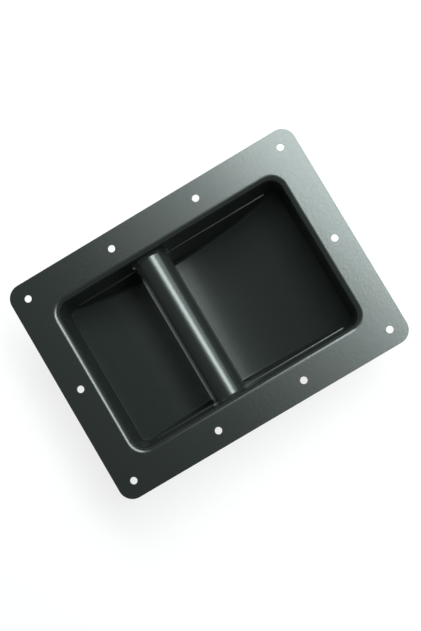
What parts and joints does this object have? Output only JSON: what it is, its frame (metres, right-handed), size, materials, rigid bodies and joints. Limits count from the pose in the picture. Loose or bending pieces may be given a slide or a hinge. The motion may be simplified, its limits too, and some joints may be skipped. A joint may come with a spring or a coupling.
{
  "type": "recessed pull handle",
  "caption": "Drawn steel dish with a screw-on flange and a round grip bar across it, let into a case or cabinet wall as a carrying handle.",
  "frame": {"origin": "middle of the flange's back face, the face that lies on the cabinet", "axes": "+Z out of the cabinet, +X along the long side of the flange, +Y along the bar"},
  "size_m": [0.222, 0.165, 0.0675],
  "materials": {
    "powder_coat": "satin black powder coat on steel"
  },
  "bodies": {
    "root": {"tray": "powder_coat", "bar": "powder_coat"}
  },
  "joints": []
}
